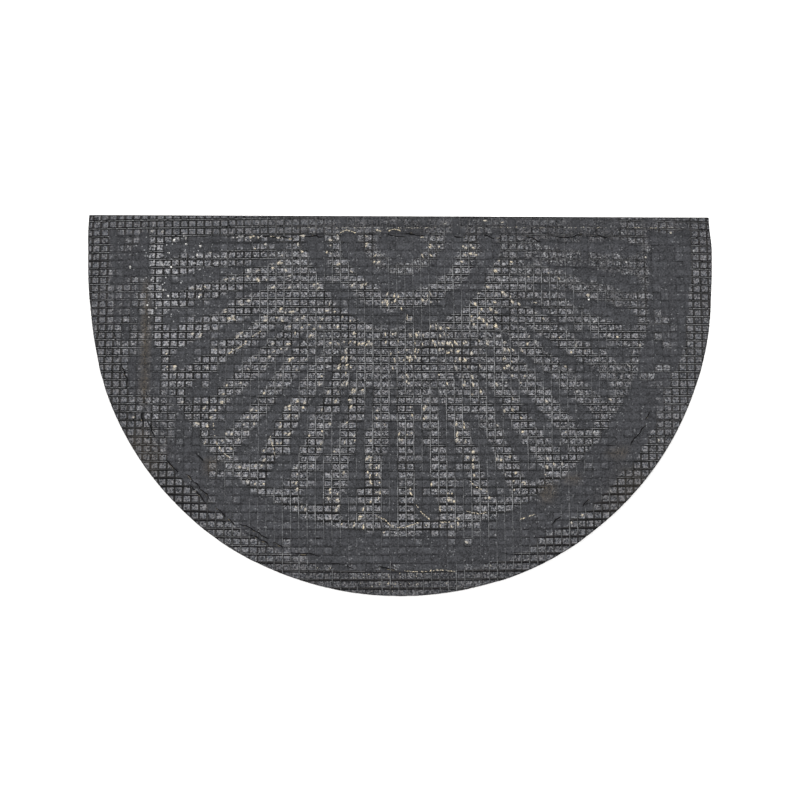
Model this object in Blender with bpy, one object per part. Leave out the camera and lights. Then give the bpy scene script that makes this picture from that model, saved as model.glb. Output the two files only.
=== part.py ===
"""Half-moon doormat with a sunburst pressed into its rubber back, lying face down.

Two layers are moulded together and cut to one outline: a fibre face, which lies on the
floor here, and a rubber backing, whose waffled grip side faces up. The sunburst shows on
that side as shallow pockets: rings round the middle of the back edge, flutes that fan out
from them, and a band that follows the rim. Metres, +Z up, origin under the middle.
"""

import math
from collections import namedtuple

import bmesh
import bpy
from mathutils import Vector
from mathutils.geometry import intersect_line_line_2d

# The outline, seen from above: the straight back edge is at +Y and the round front at -Y.
Arc = namedtuple("Arc", "radius end_degrees steps")
FRONT_ARC = Arc(radius=0.385, end_degrees=30, steps=8)
SIDE_ARC = Arc(radius=0.361, end_degrees=85, steps=14)
SHOULDER_ARC = Arc(radius=0.780, end_degrees=None, steps=3)
DEPTH = 0.457
BACK_HALF_WIDTH = 0.3726
BACK_FALL = 0.0024  # the back edge drops this much from its left end to its right end

# The layers, from the floor up.
FACE_THICKNESS = 0.0035
BACKING_THICKNESS = 0.0055
LAYER_GAP = 0.0003

# The pressed pockets in the backing.
POCKET_DEPTH = 0.0020
POCKET_SLOPE = 0.0015  # run and rise of the slanted foot of each pocket's wall
RIM_BORDER = 0.025
BACK_BORDER = 0.019
BAND_END_INSET = 0.075
FLUTE_END_INSET = 0.087
FLUTES = 22
FAN_STRETCH = 1.045  # the fan is this many times longer towards the front than an even one
FAN_LEAN = 0.028  # the fan leans this many metres towards +X for each metre towards the front
RIB_WIDTH = 0.0196
FLUTE_LEAST_WIDTH = 0.0036
FLUTE_CAP_STEPS = 8
RING_SHIFT = 0.0025  # the rings' centre is this far towards +X from the fan's
Ring = namedtuple("Ring", "inner_radius outer_radius")
RINGS = (
    Ring(inner_radius=0.0, outer_radius=0.036),
    Ring(inner_radius=0.051, outer_radius=0.075),
    Ring(inner_radius=0.093, outer_radius=0.118),
)
RING_STEPS = 24

BACKING_BASE = FACE_THICKNESS + LAYER_GAP
BACKING_TOP = BACKING_BASE + BACKING_THICKNESS
FAN_CENTRE = Vector((0.0, DEPTH / 2 - BACK_BORDER))
RING_CENTRE = FAN_CENTRE + Vector((RING_SHIFT, 0.0))

RUBBER_COLOUR = (0.075, 0.077, 0.082, 1.0)
FIBRE_COLOUR = (0.16, 0.125, 0.085, 1.0)


def clear_scene():
    for obj in list(bpy.data.objects):
        bpy.data.objects.remove(obj)


def make_collection(name):
    collection = bpy.data.collections.new(name)
    bpy.context.scene.collection.children.link(collection)
    return collection


def make_material(name, colour, roughness):
    material = bpy.data.materials.new(name)
    material.use_nodes = True
    surface = material.node_tree.nodes["Principled BSDF"]
    surface.inputs["Base Color"].default_value = colour
    surface.inputs["Roughness"].default_value = roughness
    surface.inputs["Metallic"].default_value = 0.0
    return material


def back_edge_y(x, back_inset):
    """Where the back edge, or a line inside it, lies on the plan at this x."""
    return DEPTH / 2 - back_inset - BACK_FALL * (x / BACK_HALF_WIDTH + 1) / 2


def arc_points(centre, arc, inset, start, end):
    """Points along one arc of the right half, from start to end in radians off -Y."""
    radius = arc.radius - inset
    turns = [start + (end - start) * i / arc.steps for i in range(arc.steps + 1)]
    return [centre + radius * Vector((math.sin(t), -math.cos(t))) for t in turns]


def half_outline(side, inset, back_inset):
    """The rim from the front tip to the back edge; side is 1 for +X and -1 for -X."""
    front_end = math.radians(FRONT_ARC.end_degrees)
    side_end = math.radians(SIDE_ARC.end_degrees)
    front_centre = Vector((0.0, FRONT_ARC.radius - DEPTH / 2))
    front_turn = Vector((math.sin(front_end), -math.cos(front_end)))
    side_centre = front_centre + (FRONT_ARC.radius - SIDE_ARC.radius) * front_turn
    side_turn = Vector((math.sin(side_end), -math.cos(side_end)))
    shoulder_centre = side_centre + (SIDE_ARC.radius - SHOULDER_ARC.radius) * side_turn

    corner_x = shoulder_centre.x + SHOULDER_ARC.radius - inset
    rise = back_edge_y(side * corner_x, back_inset) - shoulder_centre.y
    shoulder_end = math.pi / 2 + math.asin(rise / (SHOULDER_ARC.radius - inset))

    points = arc_points(front_centre, FRONT_ARC, inset, 0.0, front_end)
    points += arc_points(side_centre, SIDE_ARC, inset, front_end, side_end)[1:]
    points += arc_points(shoulder_centre, SHOULDER_ARC, inset, side_end, shoulder_end)[1:]
    return [Vector((side * p.x, p.y)) for p in points]


def rim_path(inset, back_inset):
    """The rim, or a line inside it, from its left back corner round the front to the right."""
    left = half_outline(-1, inset, back_inset)
    right = half_outline(1, inset, back_inset)
    return left[:0:-1] + right


def reach(direction, inset):
    """How far a ray from the fan's centre runs before it meets the rim's inset line."""
    path = rim_path(inset, BACK_BORDER)
    far_point = FAN_CENTRE + direction * DEPTH * 2
    hits = [intersect_line_line_2d(FAN_CENTRE, far_point, a, b) for a, b in zip(path, path[1:])]
    return min((hit - FAN_CENTRE).length for hit in hits if hit)


def rib_turn(number):
    """Which way a rib points: 0 is -X, and it grows round by the front to pi at +X."""
    even_turn = math.pi * number / FLUTES
    ahead = FAN_STRETCH * math.sin(even_turn)
    return math.atan2(ahead, math.cos(even_turn) - FAN_LEAN * ahead)


def flute_floor(number):
    """The floor of one flute: a wedge between two ribs of even width, with a round end."""
    turn = (rib_turn(number) + rib_turn(number + 1)) / 2
    spread = rib_turn(number + 1) - rib_turn(number)
    along = Vector((-math.cos(turn), -math.sin(turn)))
    across = Vector((-along.y, along.x))

    def half_width(radius):
        return (radius * spread - RIB_WIDTH) / 2 - POCKET_SLOPE

    inner = (RIB_WIDTH + FLUTE_LEAST_WIDTH) / spread
    outer = reach(along, FLUTE_END_INSET) - POCKET_SLOPE
    cap_centre = (outer + POCKET_SLOPE + RIB_WIDTH / 2) / (1 + spread / 2)
    cap_radius = half_width(cap_centre)
    points = [FAN_CENTRE + inner * along - half_width(inner) * across]
    for step in range(FLUTE_CAP_STEPS + 1):
        bend = math.pi * (step / FLUTE_CAP_STEPS - 0.5)
        ahead = cap_centre + cap_radius * math.cos(bend)
        points.append(FAN_CENTRE + ahead * along + cap_radius * math.sin(bend) * across)
    points.append(FAN_CENTRE + inner * along + half_width(inner) * across)
    return points


def half_circle(radius):
    """Points on the front half of a circle round the rings' centre, from -X to +X."""
    turns = [math.pi * i / RING_STEPS for i in range(RING_STEPS + 1)]
    return [RING_CENTRE + radius * Vector((-math.cos(t), -math.sin(t))) for t in turns]


def ring_floor(ring):
    outer = half_circle(ring.outer_radius - POCKET_SLOPE)
    if not ring.inner_radius:
        return outer
    return outer + half_circle(ring.inner_radius + POCKET_SLOPE)[::-1]


def band_floor():
    back_inset = BACK_BORDER + POCKET_SLOPE
    outer = rim_path(RIM_BORDER + POCKET_SLOPE, back_inset)
    inner = rim_path(BAND_END_INSET - POCKET_SLOPE, back_inset)
    return outer + inner[::-1]


def flat_curve(name, outline, thickness, edge=0.0):
    """A filled flat outline, centred on its own plane, whose rim bulges out by edge."""
    curve = bpy.data.curves.new(name, "CURVE")
    curve.dimensions = "2D"
    curve.fill_mode = "BOTH"
    curve.extrude = thickness / 2 - edge
    curve.bevel_depth = edge
    curve.bevel_resolution = 0
    spline = curve.splines.new("POLY")
    spline.points.add(len(outline) - 1)
    for point, place in zip(spline.points, outline):
        point.co = (place.x, place.y, 0.0, 1.0)
    spline.use_cyclic_u = True
    return bpy.data.objects.new(name, curve)


def as_mesh(curve_object, collection):
    """The curve as a mesh object with its caps joined to its sides."""
    bpy.context.scene.collection.objects.link(curve_object)
    bpy.context.view_layer.update()
    graph = bpy.context.evaluated_depsgraph_get()
    mesh = bpy.data.meshes.new_from_object(curve_object.evaluated_get(graph))
    shape = bmesh.new()
    shape.from_mesh(mesh)
    bmesh.ops.remove_doubles(shape, verts=shape.verts, dist=1e-6)
    bmesh.ops.recalc_face_normals(shape, faces=shape.faces)
    shape.to_mesh(mesh)
    shape.free()
    name = curve_object.name
    place = curve_object.matrix_world.copy()
    bpy.data.objects.remove(curve_object)
    obj = bpy.data.objects.new(name, mesh)
    obj.matrix_world = place
    collection.objects.link(obj)
    return obj


def add_cutter(name, floor, cutters):
    """A plug with a slanted foot that presses one pocket into the top of the backing."""
    height = POCKET_DEPTH * 2 + POCKET_SLOPE * 2
    plug = flat_curve(name, floor, height, POCKET_SLOPE)
    plug.location.z = BACKING_TOP - POCKET_DEPTH + height / 2
    cutter = as_mesh(plug, cutters)
    cutter.hide_render = True
    cutter.display_type = "WIRE"


def add_cutters(cutters):
    add_cutter("band_cutter", band_floor(), cutters)
    for number, ring in enumerate(RINGS):
        add_cutter(f"ring_cutter_{number}", ring_floor(ring), cutters)
    for number in range(FLUTES):
        add_cutter(f"flute_cutter_{number}", flute_floor(number), cutters)


def add_backing(parts, cutters):
    sheet = flat_curve("rubber_backing", rim_path(0.0, 0.0), BACKING_THICKNESS)
    sheet.location.z = BACKING_BASE + BACKING_THICKNESS / 2
    backing = as_mesh(sheet, parts)
    backing.data.materials.append(make_material("crumb_rubber", RUBBER_COLOUR, 0.75))
    press = backing.modifiers.new("press_sunburst", "BOOLEAN")
    press.operation = "DIFFERENCE"
    press.operand_type = "COLLECTION"
    press.collection = cutters


def add_face(parts):
    sheet = flat_curve("fibre_face", rim_path(0.0, 0.0), FACE_THICKNESS)
    sheet.location.z = FACE_THICKNESS / 2
    face = as_mesh(sheet, parts)
    face.data.materials.append(make_material("needled_fibre", FIBRE_COLOUR, 0.95))


def main():
    clear_scene()
    parts = make_collection("half_moon_doormat")
    cutters = make_collection("pocket_cutters")
    add_cutters(cutters)
    add_backing(parts, cutters)
    add_face(parts)


main()
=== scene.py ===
"""A half-moon doormat lying face down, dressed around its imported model.

The rubber backing faces up. It is a plate of small square grip pads, parted by the marks of
a press mesh, and a sunburst is sunk into it: rings, flutes and a band along the rim. Under
it lies the fibre face. All sizes are in metres unless a name says millimetres.
"""

import logging
import math
from collections.abc import Mapping, Sequence
from dataclasses import dataclass
from enum import Enum
from typing import Any, NamedTuple

import bmesh
import bpy
import numpy as np
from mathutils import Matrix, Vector


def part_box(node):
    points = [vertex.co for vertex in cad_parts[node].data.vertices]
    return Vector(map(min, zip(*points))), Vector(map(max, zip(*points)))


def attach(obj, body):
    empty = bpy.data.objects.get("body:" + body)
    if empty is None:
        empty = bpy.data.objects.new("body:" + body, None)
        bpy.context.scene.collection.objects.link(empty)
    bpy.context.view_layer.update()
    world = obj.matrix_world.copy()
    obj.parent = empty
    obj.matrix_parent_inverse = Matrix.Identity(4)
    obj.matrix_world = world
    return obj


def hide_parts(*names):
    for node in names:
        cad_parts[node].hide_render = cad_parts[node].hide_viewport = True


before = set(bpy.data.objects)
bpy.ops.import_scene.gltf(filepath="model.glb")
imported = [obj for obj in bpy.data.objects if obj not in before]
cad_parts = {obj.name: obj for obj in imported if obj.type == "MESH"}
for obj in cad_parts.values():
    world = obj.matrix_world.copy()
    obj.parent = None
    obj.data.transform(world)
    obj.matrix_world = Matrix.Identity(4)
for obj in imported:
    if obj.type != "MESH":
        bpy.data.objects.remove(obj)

LOG = logging.getLogger("doormat")
MM = 0.001
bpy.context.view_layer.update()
BACKING_LOW, BACKING_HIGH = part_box("rubber_backing")
FACE_LOW, FACE_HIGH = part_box("fibre_face")
HALF_DEPTH = BACKING_HIGH.y
PHOTO_SCALE = 1.202 * MM
PICTURE_PIXELS = 800
VIEW_ROWS_ABOVE_MIDDLE = 5.75
SHARP_FROM = math.radians(50)


class Finish(Enum):
    """The record's material slots."""

    RUBBER = "crumb_rubber"
    FIBRE = "needled_fibre"


def ease(value: np.ndarray) -> np.ndarray:
    """Takes 0 to 1 into 0 to 1 with level ends, and holds what lies outside."""
    held = np.clip(value, 0.0, 1.0)
    return held * held * (3.0 - 2.0 * held)


@dataclass(frozen=True)
class Ripple:
    """Smooth unevenness from -1 to 1: random heights on a square grid, eased in between."""

    seed: int
    spacing: float
    reach: float = 0.5

    def at(self, x: np.ndarray, y: np.ndarray) -> np.ndarray:
        """Reads the unevenness at points on the plan.

        Args:
            x: Places along the back edge.
            y: Places across the mat.

        Returns:
            One height from -1 to 1 for each point.
        """
        count = int(2 * self.reach / self.spacing) + 3
        heights = np.random.default_rng(self.seed).uniform(-1.0, 1.0, (count, count))
        across, along = (x + self.reach) / self.spacing, (y + self.reach) / self.spacing
        i, j = np.floor(across).astype(int), np.floor(along).astype(int)
        s, t = ease(across - i), ease(along - j)
        near = heights[i, j] * (1 - s) + heights[i + 1, j] * s
        far = heights[i, j + 1] * (1 - s) + heights[i + 1, j + 1] * s
        return near * (1 - t) + far * t


@dataclass(frozen=True)
class Lots:
    """Random numbers from -1 to 1, one for each pad."""

    seed: int
    reach: int = 60

    def at(self, across: np.ndarray, along: np.ndarray) -> np.ndarray:
        """Reads the numbers of the pads that hold places given in cells."""
        numbers = np.random.default_rng(self.seed).uniform(-1.0, 1.0, (2 * self.reach, 2 * self.reach))
        return numbers[np.floor(across).astype(int) + self.reach, np.floor(along).astype(int) + self.reach]


class Spot(NamedTuple):
    """An oval patch of the mat on which something differs from the rest."""

    x: float
    y: float
    wide: float
    deep: float
    amount: float = 1.0


def patchy(spots: Sequence[Spot], x: np.ndarray, y: np.ndarray) -> np.ndarray:
    """Adds up what patches do at points on the plan, with soft uneven edges.

    Args:
        spots: The patches.
        x: Places along the back edge.
        y: Places across the mat.

    Returns:
        The amounts.
    """
    total = np.zeros_like(x)
    uneven = 0.35 * Ripple(seed=15, spacing=0.017).at(x, y)
    for spot in spots:
        away = np.hypot((x - spot.x) / spot.wide, (y - spot.y) / spot.deep)
        total += spot.amount * ease(1.35 - away + uneven)
    return total


@dataclass(frozen=True)
class Rim:
    """The half-moon outline: three arcs a side, a back edge that falls a little, and its bulges."""

    front_radius: float = 0.385
    front_end: float = math.radians(30)
    side_radius: float = 0.361
    side_end: float = math.radians(85)
    shoulder_radius: float = 0.780
    back_half_width: float = 0.3726
    back_fall: float = 3.1 * MM
    crumbs_out: float = 0.5 * MM
    bulges: tuple[Spot, ...] = (
        Spot(x=-0.372, y=0.222, wide=0.030, deep=0.030, amount=0.8 * MM),
        Spot(x=-0.370, y=0.080, wide=0.030, deep=0.055, amount=-1.4 * MM),
        Spot(x=0.372, y=0.222, wide=0.030, deep=0.025, amount=-2.0 * MM),
        Spot(x=0.372, y=0.080, wide=0.030, deep=0.055, amount=0.7 * MM),
        Spot(x=0.150, y=-0.175, wide=0.090, deep=0.050, amount=1.1 * MM),
        Spot(x=-0.190, y=-0.160, wide=0.060, deep=0.040, amount=0.7 * MM),
    )

    def inset(self, x: np.ndarray, y: np.ndarray) -> np.ndarray:
        """Tells how far inside the curved part of the rim each point lies.

        Args:
            x: Places along the back edge.
            y: Places across the mat.

        Returns:
            The distances, below 0 outside the rim.
        """
        side = np.abs(x)
        front_y = self.front_radius - HALF_DEPTH
        step = self.front_radius - self.side_radius
        side_x = step * math.sin(self.front_end)
        side_y = front_y - step * math.cos(self.front_end)
        step = self.side_radius - self.shoulder_radius
        shoulder_x = side_x + step * math.sin(self.side_end)
        shoulder_y = side_y - step * math.cos(self.side_end)
        front_turn = np.arctan2(side, front_y - y)
        side_turn = np.arctan2(side - side_x, side_y - y)
        inset = np.select(
            [front_turn < self.front_end, side_turn < self.side_end],
            [
                self.front_radius - np.hypot(side, y - front_y),
                self.side_radius - np.hypot(side - side_x, y - side_y),
            ],
            self.shoulder_radius - np.hypot(side - shoulder_x, y - shoulder_y),
        )
        return inset + self.crumbs_out + patchy(self.bulges, x, y)

    def below_back(self, x: np.ndarray, y: np.ndarray) -> np.ndarray:
        """Tells how far in front of the back edge each point lies."""
        return HALF_DEPTH + 2 * self.crumbs_out - self.back_fall * (x / self.back_half_width + 1) / 2 - y

    def all_round(self, x: np.ndarray, y: np.ndarray) -> np.ndarray:
        """Tells how far inside the whole outline each point lies."""
        return np.minimum(self.inset(x, y), self.below_back(x, y))


class Ring(NamedTuple):
    """A half ring round the fan's centre."""

    inner: float
    outer: float


@dataclass(frozen=True)
class Sunburst:
    """The pockets pressed into the backing: rings, flutes and the band along the rim."""

    rim: Rim = Rim()
    rings: tuple[Ring, ...] = (Ring(0.0, 0.036), Ring(0.051, 0.075), Ring(0.093, 0.118))
    flutes: int = 22
    stretch: float = 1.045
    lean: float = 0.028
    ring_shift: float = 2.5 * MM
    rib_width: float = 19.6 * MM
    back_border: float = 19 * MM
    rim_border: float = 25 * MM
    band_end: float = 75 * MM
    flute_end: float = 87 * MM
    flute_start: float = 0.146

    def rib_turns(self) -> np.ndarray:
        """Tells which way the ribs point.

        Returns:
            Each rib's turn, from 0 at -X round by the front to pi at +X.
        """
        even = np.arange(self.flutes + 1) * math.pi / self.flutes
        ahead = self.stretch * np.sin(even)
        return np.arctan2(ahead, np.cos(even) - self.lean * ahead)

    def flute_reach(self) -> np.ndarray:
        """Finds where the flutes' round ends are centred, by steps outward from the fan.

        Returns:
            How far from the fan's centre each flute's end is centred.
        """
        ribs = self.rib_turns()
        turns = (ribs[1:] + ribs[:-1]) / 2
        steps = np.linspace(0.2, 0.4, 401)[:, None]
        x = -np.cos(turns) * steps
        y = HALF_DEPTH - self.back_border - np.sin(turns) * steps
        ends = steps[np.argmax(self.rim.inset(x, y) < self.flute_end, axis=0), 0]
        return (ends + self.rib_width / 2) / (1 + np.diff(ribs) / 2)

    def edge(self, x: np.ndarray, y: np.ndarray) -> np.ndarray:
        """Tells how far each point lies outside the nearest pocket.

        Args:
            x: Places along the back edge.
            y: Places across the mat.

        Returns:
            The distances, below 0 inside a pocket.
        """
        down = HALF_DEPTH - self.back_border - y
        radius = np.hypot(x, down)
        ribs = self.rib_turns()
        turn = np.clip(np.arctan2(down, -x), 0.0, math.pi - 1e-6)
        number = np.searchsorted(ribs, turn, side="right") - 1
        spread = np.diff(ribs)[number]
        swing = turn - ribs[number] - spread / 2
        ahead, aside = radius * np.cos(swing), np.abs(radius * np.sin(swing))
        cap = self.flute_reach()[number]
        cap_radius = (cap * spread - self.rib_width) / 2
        flank = np.maximum(aside - (ahead * spread - self.rib_width) / 2, self.flute_start - ahead)
        end = np.hypot(ahead - cap, aside) - cap_radius
        nearest = np.where(ahead < cap, flank, end)
        radius = np.hypot(x - self.ring_shift, down)
        for ring in self.rings:
            outside = np.maximum(radius - ring.outer, ring.inner - radius if ring.inner else -radius)
            nearest = np.minimum(nearest, outside)
        inset = self.rim.inset(x, y)
        nearest = np.minimum(nearest, np.maximum(self.rim_border - inset, inset - self.band_end))
        return np.maximum(nearest, self.back_border - self.rim.below_back(x, y))


class Bend(NamedTuple):
    """One way in which the press mesh is pulled out of square: an amount times powers of x and y."""

    amount: float
    x_power: int
    y_power: int


@dataclass(frozen=True)
class PressMesh:
    """The mesh that presses the grip pads: each wire is a pair of strands with a fin between."""

    pitch: float = 9.76 * MM
    upright_at: float = 6.6 * MM
    level_at: float = 90.0 * MM
    strand: float = 0.62 * MM
    pad_edge: float = 1.15 * MM
    upright_depth: float = 0.8 * MM
    level_depth: float = 1.2 * MM
    upright_fin: float = 0.65 * MM
    level_fin: float = 0.4 * MM
    sway: float = 0.4 * MM
    sway_x: Ripple = Ripple(seed=1, spacing=0.055)
    sway_y: Ripple = Ripple(seed=2, spacing=0.060)
    wire_apart: float = 9 * MM
    bend_unit: float = 0.3
    bends_x: tuple[Bend, ...] = (
        Bend(-0.28 * MM, 0, 0), Bend(-0.46 * MM, 1, 0), Bend(-1.24 * MM, 2, 0), Bend(-1.09 * MM, 3, 0),
        Bend(-1.68 * MM, 0, 1), Bend(-7.87 * MM, 1, 1), Bend(2.36 * MM, 2, 1),
        Bend(-2.54 * MM, 0, 2), Bend(-1.45 * MM, 1, 2), Bend(-2.97 * MM, 0, 3),
    )
    bends_y: tuple[Bend, ...] = (
        Bend(0.07 * MM, 0, 0), Bend(-0.28 * MM, 1, 0), Bend(-0.81 * MM, 2, 0),
        Bend(0.85 * MM, 0, 1), Bend(-0.58 * MM, 1, 1), Bend(-5.17 * MM, 2, 1),
        Bend(-5.19 * MM, 0, 2), Bend(1.00 * MM, 1, 2), Bend(1.02 * MM, 0, 3),
    )

    def stops(self, low: float, high: float, line_at: float) -> np.ndarray:
        """Gives the places of the surface's rows of points, in cells from the line at line_at.

        Args:
            low: Lowest place that the rows have to reach.
            high: Highest place that the rows have to reach.
            line_at: Place of the wire that counts as number 0.

        Returns:
            Whole numbers on the wires, and the fractions at the strands and the pads' edges.
        """
        strand, edge = self.strand / self.pitch, self.pad_edge / self.pitch
        within = np.array([0.0, strand, edge, 1 - edge, 1 - strand])
        first = math.floor((low - line_at) / self.pitch) - 2
        last = math.ceil((high - line_at) / self.pitch) + 2
        return (np.arange(first, last)[:, None] + within).ravel()

    def pad_stair(self, cells: np.ndarray) -> np.ndarray:
        """Holds every place on a pad at the pad's middle, and slides across the wires."""
        edge = self.pad_edge / self.pitch
        whole = np.floor(cells)
        part = cells - whole
        return whole + 0.5 * np.clip(part / edge, 0, 1) + 0.5 * np.clip((part - 1) / edge + 1, 0, 1)

    def mark(self, cells: np.ndarray, depth: np.ndarray, fin: np.ndarray) -> np.ndarray:
        """Gives the height of one set of wires' marks: 0 on the pads, below 0 in the marks.

        Args:
            cells: Places across the wires, in cells.
            depth: Depth of the strands' grooves.
            fin: Height of the fin above the grooves' floor.

        Returns:
            The heights.
        """
        away = np.abs(cells - np.round(cells)) * self.pitch
        groove = np.clip((self.pad_edge - away) / (self.pad_edge - self.strand), 0, 1)
        rise = np.clip((self.strand - away) / self.strand, 0, 1)
        return rise * fin - groove * depth

    def pulled(self, bends: Sequence[Bend], x: np.ndarray, y: np.ndarray) -> np.ndarray:
        """Tells how far the mesh is pulled aside.

        Args:
            bends: How it is pulled along the wanted axis.
            x: Places along the back edge.
            y: Places across the mat.

        Returns:
            The distances.
        """
        x, y = x / self.bend_unit, (y - self.level_at) / self.bend_unit
        return np.sum([bend.amount * x**bend.x_power * y**bend.y_power for bend in bends], axis=0)

    def twin(self, x: np.ndarray, along: np.ndarray) -> np.ndarray:
        """Tells where a level wire's two strands left two lines and not one.

        Args:
            x: Places along the back edge.
            along: Places in cells from the level wire at level_at.

        Returns:
            How much there are two, from 0 to 1.
        """
        y = self.level_at + along * self.pitch
        at_left = ease((-0.22 - x) / 0.06) * ease((y + 0.10) / 0.08)
        at_back = ease((y + 0.11) / 0.08)
        at_front = 0.12 * ease((-x - 0.05) / 0.08) * ease((-0.02 - y) / 0.06)
        zone = 0.15 - at_front + 0.7 * np.maximum(at_left, at_back)
        return ease(zone + 0.8 * Ripple(seed=17, spacing=0.02).at(x * 0.5, np.round(along) * self.wire_apart))

    def middle(self, x: np.ndarray, y: np.ndarray) -> np.ndarray:
        """Tells how much a place belongs to the middle, where the upright wires left thin fins."""
        return ease((0.27 - np.abs(x - 0.02)) / 0.08) * (0.45 + 0.55 * ease((0.19 - y) / 0.05))

    def inked(self, x: np.ndarray, y: np.ndarray) -> np.ndarray:
        """Tells how strong the painted shade in the upright wires' marks is where their fins are not lit."""
        at_right, at_left = ease((x - 0.2) / 0.1), ease((-0.25 - x) / 0.08)
        return 0.6 - 0.05 * self.middle(x, y) - 0.3 * at_right - 0.15 * at_left

    def sided(self, x: np.ndarray) -> np.ndarray:
        """Tells how much a place belongs to the side borders, -1 at the left one and 1 at the right."""
        return ease((np.abs(x) - 0.28) / 0.05) * np.sign(x)

    def lit(self, across: np.ndarray, y: np.ndarray) -> np.ndarray:
        """Tells where the upright wires' fins stand up and catch the light.

        Args:
            across: Places in cells from the upright wire at upright_at.
            y: Places across the mat.

        Returns:
            How much they do, from 0 to 1.
        """
        line = np.round(across)
        x = self.upright_at + line * self.pitch
        middle = self.middle(x, y) * (0.5 + 0.5 * ease((y + 0.17) / 0.03))
        broken = 0.4 + 0.6 * ease((np.abs(x) - 0.10) / 0.08)
        apart = line * self.wire_apart
        runs = Ripple(seed=41, spacing=0.02).at(apart, y * 0.8)
        runs = runs + broken * Ripple(seed=42, spacing=0.008).at(apart, y)
        return middle * ease(0.75 - 0.3 * broken + 1.4 * runs)


@dataclass(frozen=True)
class Wear:
    """Where the rubber filled the press badly, and where dust, chalk and loam stick to it."""

    sunk: tuple[Spot, ...] = (
        Spot(x=0.235, y=0.165, wide=0.055, deep=0.060, amount=0.75 * MM),
        Spot(x=0.300, y=0.080, wide=0.045, deep=0.090, amount=0.35 * MM),
        Spot(x=0.150, y=0.180, wide=0.045, deep=0.030, amount=0.40 * MM),
        Spot(x=0.100, y=0.222, wide=0.240, deep=0.014, amount=0.95 * MM),
        Spot(x=0.320, y=0.215, wide=0.060, deep=0.020, amount=0.40 * MM),
        Spot(x=-0.200, y=0.197, wide=0.090, deep=0.016, amount=1.10 * MM),
        Spot(x=-0.285, y=0.140, wide=0.020, deep=0.050, amount=0.35 * MM),
        Spot(x=-0.325, y=0.100, wide=0.022, deep=0.110, amount=-1.30 * MM),
        Spot(x=-0.290, y=-0.030, wide=0.025, deep=0.045, amount=-1.20 * MM),
        Spot(x=-0.222, y=-0.078, wide=0.022, deep=0.022, amount=-1.20 * MM),
        Spot(x=0.002, y=0.200, wide=0.045, deep=0.040, amount=0.40 * MM),
        Spot(x=0.318, y=0.050, wide=0.024, deep=0.110, amount=-1.00 * MM),
        Spot(x=0.020, y=-0.177, wide=0.170, deep=0.016, amount=0.60 * MM),
    )
    chalk: tuple[Spot, ...] = (
        Spot(x=-0.280, y=0.172, wide=0.035, deep=0.035, amount=0.9),
        Spot(x=-0.290, y=0.118, wide=0.022, deep=0.030, amount=1.0),
        Spot(x=-0.215, y=0.165, wide=0.040, deep=0.030, amount=0.4),
    )
    dust: tuple[Spot, ...] = (
        Spot(x=-0.255, y=0.110, wide=0.060, deep=0.060, amount=0.30),
        Spot(x=-0.180, y=0.040, wide=0.100, deep=0.070, amount=0.15),
        Spot(x=-0.170, y=-0.060, wide=0.090, deep=0.060, amount=0.22),
        Spot(x=0.030, y=0.060, wide=0.120, deep=0.060, amount=-0.18),
        Spot(x=0.170, y=0.120, wide=0.090, deep=0.050, amount=-0.08),
        Spot(x=0.000, y=-0.205, wide=0.130, deep=0.025, amount=-0.25),
        Spot(x=0.250, y=0.190, wide=0.110, deep=0.045, amount=-0.15),
        Spot(x=0.000, y=0.208, wide=0.035, deep=0.025, amount=-0.25),
    )
    border_dust: float = -0.10
    most: float = 0.9
    calm: tuple[Spot, ...] = (
        Spot(x=-0.360, y=0.070, wide=0.040, deep=0.180, amount=0.7),
        Spot(x=0.360, y=0.070, wide=0.040, deep=0.180, amount=0.4),
        Spot(x=-0.220, y=0.222, wide=0.170, deep=0.020, amount=0.9),
        Spot(x=0.080, y=0.222, wide=0.200, deep=0.016, amount=0.7),
    )
    clogged: tuple[Spot, ...] = (
        Spot(x=0.090, y=0.220, wide=0.270, deep=0.014, amount=0.8),
        Spot(x=0.240, y=0.170, wide=0.090, deep=0.050, amount=0.75),
        Spot(x=0.135, y=0.190, wide=0.050, deep=0.030, amount=0.5),
        Spot(x=0.000, y=0.180, wide=0.070, deep=0.045, amount=0.5),
    )
    smeared: tuple[Spot, ...] = (
        Spot(x=0.000, y=-0.205, wide=0.190, deep=0.028, amount=1.0),
        Spot(x=0.220, y=0.170, wide=0.120, deep=0.060, amount=0.5),
        Spot(x=0.270, y=0.030, wide=0.070, deep=0.090, amount=0.5),
    )
    cream: tuple[Spot, ...] = (
        Spot(x=0.080, y=0.080, wide=0.110, deep=0.035, amount=0.35),
        Spot(x=-0.080, y=0.070, wide=0.060, deep=0.045, amount=0.25),
        Spot(x=0.000, y=0.130, wide=0.070, deep=0.012, amount=0.35),
        Spot(x=0.020, y=-0.206, wide=0.110, deep=0.018, amount=0.90),
        Spot(x=0.200, y=0.222, wide=0.120, deep=0.006, amount=0.05),
    )
    loam: tuple[Spot, ...] = (
        Spot(x=-0.307, y=0.076, wide=0.005, deep=0.075, amount=0.8),
        Spot(x=-0.306, y=-0.058, wide=0.022, deep=0.032, amount=0.4),
        Spot(x=-0.228, y=-0.070, wide=0.010, deep=0.010, amount=0.6),
        Spot(x=0.176, y=-0.104, wide=0.014, deep=0.014, amount=0.6),
        Spot(x=0.205, y=-0.090, wide=0.014, deep=0.006, amount=0.6),
        Spot(x=0.265, y=-0.056, wide=0.014, deep=0.010, amount=0.6),
        Spot(x=0.290, y=-0.110, wide=0.040, deep=0.040, amount=0.4),
    )


class Relief(NamedTuple):
    """The backing's surface at some points, in metres from its highest place."""

    x: np.ndarray
    y: np.ndarray
    height: np.ndarray
    sunk: np.ndarray
    edge: np.ndarray


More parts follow.
